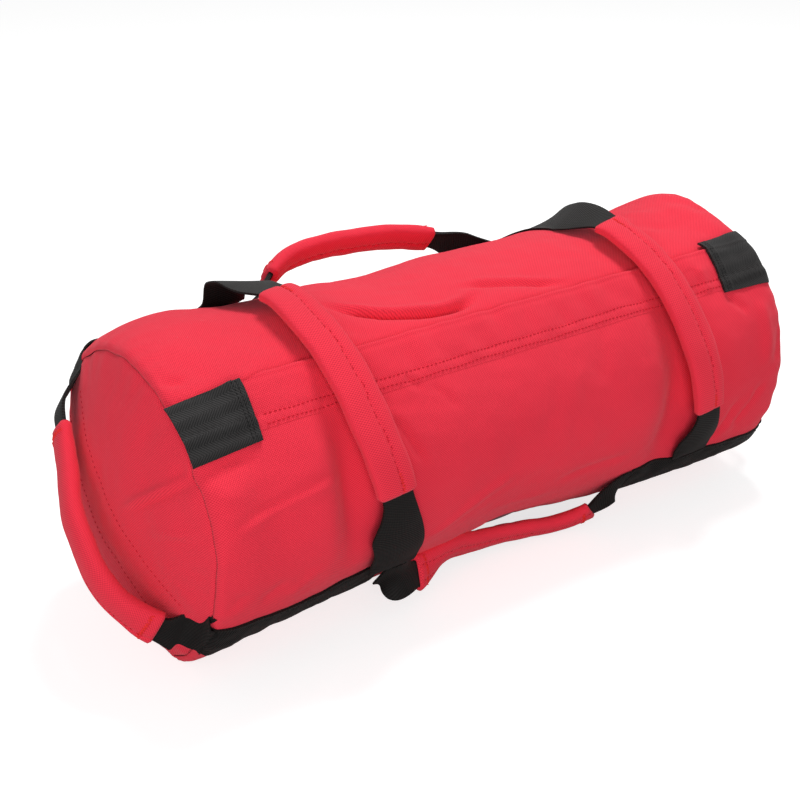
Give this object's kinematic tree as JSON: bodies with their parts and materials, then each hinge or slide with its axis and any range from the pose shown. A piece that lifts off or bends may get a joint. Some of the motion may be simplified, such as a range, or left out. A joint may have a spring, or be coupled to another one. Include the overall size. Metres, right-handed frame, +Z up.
{
  "type": "sandbag trainer",
  "caption": "Cylindrical sand-filled fabric training bag with a flap-covered zip along its side and padded webbing handles along, across and at the ends.",
  "frame": {"origin": "middle of the footprint on the surface that the bag lies on", "axes": "+X along the bag towards the end that is further from the viewer, +Y towards the side with the upright long handle, +Z up"},
  "size_m": [0.6277, 0.2627, 0.2336],
  "materials": {
    "red_canvas": "woven polyester canvas, matt",
    "black_webbing": "woven polyester webbing with a soft sheen",
    "black_zip_tape": "woven zip tape",
    "zip_plastic": "moulded teeth",
    "zip_metal": "dark plated cast metal",
    "pouch_fabric": "coated inner fabric",
    "hook_and_loop": "hook and loop pile"
  },
  "bodies": {
    "bag": {"body_panel": "red_canvas", "end_panel_left": "red_canvas", "end_panel_right": "red_canvas", "zip_flap": "red_canvas", "seam_binding_left": "black_webbing", "seam_binding_right": "black_webbing", "end_web_left": "black_webbing", "end_web_right": "black_webbing", "flap_tab_left": "black_webbing", "flap_tab_right": "black_webbing", "strap_front_left": "black_webbing", "strap_front_right": "black_webbing", "strap_back_left": "black_webbing", "strap_back_right": "black_webbing", "zip_tape_back": "black_zip_tape", "zip_tape_front": "black_zip_tape", "zip_teeth_back": "zip_plastic", "zip_teeth_front": "zip_plastic", "zip_top_stop_back": "zip_metal", "zip_top_stop_front": "zip_metal", "zip_bottom_stop": "zip_metal", "sand_pouch_1": "pouch_fabric", "sand_pouch_2": "pouch_fabric", "sand_pouch_3": "pouch_fabric", "pouch_closure_1": "hook_and_loop", "pouch_closure_2": "hook_and_loop", "pouch_closure_3": "hook_and_loop"},
    "slider": {"zip_slider": "zip_metal"},
    "pull": {"zip_pull": "zip_metal"},
    "long_handle_back": {"long_handle_back_webbing": "black_webbing", "long_handle_back_sleeve": "red_canvas"},
    "long_handle_front": {"long_handle_front_webbing": "black_webbing", "long_handle_front_sleeve": "red_canvas"},
    "cross_handle_left": {"cross_handle_left_webbing": "black_webbing", "cross_handle_left_sleeve": "red_canvas"},
    "cross_handle_right": {"cross_handle_right_webbing": "black_webbing", "cross_handle_right_sleeve": "red_canvas"},
    "end_handle_left": {"end_handle_left_webbing": "black_webbing", "end_handle_left_sleeve": "red_canvas"},
    "end_handle_right": {"end_handle_right_webbing": "black_webbing", "end_handle_right_sleeve": "red_canvas"}
  },
  "joints": [
    {"name": "zip_slide", "type": "slide", "parent": "bag", "child": "slider", "axis": [1, 0, 0], "range_m": [-0.389, 0], "deforming": ["zip_teeth_back", "zip_teeth_front"]},
    {"name": "pull_hinge", "type": "hinge", "parent": "slider", "child": "pull", "pos_m": [0.1953, -0.07664, 0.19212], "axis": [0, 0.7716, 0.6361], "range_deg": [0, 4.5]},
    {"name": "long_handle_back_hinge", "type": "hinge", "parent": "bag", "child": "long_handle_back", "pos_m": [-0.1195, 0.08553, 0.1765], "axis": [1, 0, 0], "range_deg": [-60, 60], "deforming": ["long_handle_back_webbing"]},
    {"name": "long_handle_front_hinge", "type": "hinge", "parent": "bag", "child": "long_handle_front", "pos_m": [-0.1195, -0.08897, 0.03519], "axis": [1, 0.0031, 0.0025], "range_deg": [-145, 5], "deforming": ["long_handle_front_webbing"]},
    {"name": "cross_handle_left_hinge", "type": "hinge", "parent": "bag", "child": "cross_handle_left", "pos_m": [-0.1636, 0.07104, 0.19141], "axis": [0.2067, -0.7585, -0.618], "range_deg": [-13, 10], "deforming": ["cross_handle_left_webbing"]},
    {"name": "cross_handle_right_hinge", "type": "hinge", "parent": "bag", "child": "cross_handle_right", "pos_m": [0.119, 0.07104, 0.19141], "axis": [0.2614, -0.7487, -0.6092], "range_deg": [-12, 10], "deforming": ["cross_handle_right_webbing"]},
    {"name": "end_handle_left_hinge", "type": "hinge", "parent": "bag", "child": "end_handle_left", "pos_m": [-0.2575, -0.004, 0.104], "axis": [0, -0.7771, -0.6293], "range_deg": [-26, 26], "deforming": ["end_handle_left_webbing"]},
    {"name": "end_handle_right_hinge", "type": "hinge", "parent": "bag", "child": "end_handle_right", "pos_m": [0.2675, -0.004, 0.104], "axis": [0, -0.7771, -0.6293], "range_deg": [-9, 9], "deforming": ["end_handle_right_webbing"]}
  ]
}
